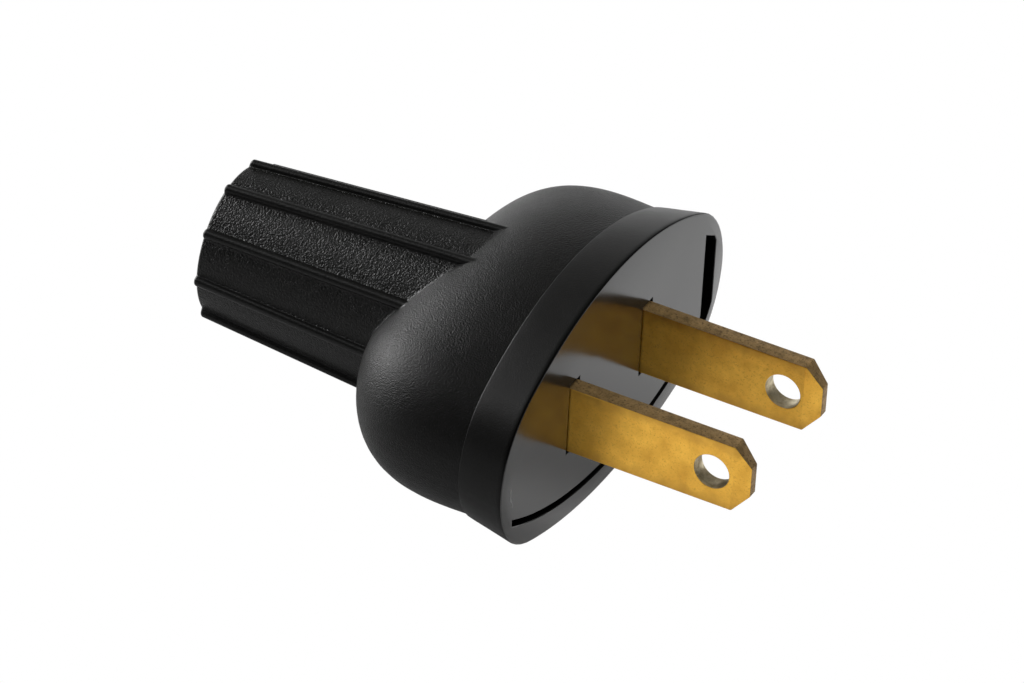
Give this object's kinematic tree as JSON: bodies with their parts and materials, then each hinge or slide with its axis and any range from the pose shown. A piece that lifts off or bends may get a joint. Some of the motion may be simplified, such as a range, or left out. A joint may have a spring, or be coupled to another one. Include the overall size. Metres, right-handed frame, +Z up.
{
  "type": "electrical plug",
  "caption": "Mains cord plug with flat parallel blades: a black moulding with an oval slit face, a domed housing and a ribbed tapering handle open for the cord.",
  "frame": {"origin": "on the flat face, midway between the two blades", "axes": "+X out of the face along the blades, tipped up by the lean at which the plug lies on a table; +Y from the left blade to the right one; +Z up, with the plug lying on the rim of its face and two ribs of its handle"},
  "size_m": [0.0528, 0.039, 0.0215],
  "materials": {
    "moulding": "near-black satin moulding with fine leather grain, smoother and glossier on the face",
    "blade_brass": "aged golden brass with brown mottling and darker sheared edges",
    "screw_metal": "plated steel",
    "clamp_metal": "plain brass plate"
  },
  "bodies": {
    "root": {"body": "moulding", "blade_left": "blade_brass", "blade_right": "blade_brass", "terminal_screw_left": "screw_metal", "terminal_screw_right": "screw_metal", "wire_clamp_left": "clamp_metal", "wire_clamp_right": "clamp_metal"}
  },
  "joints": []
}
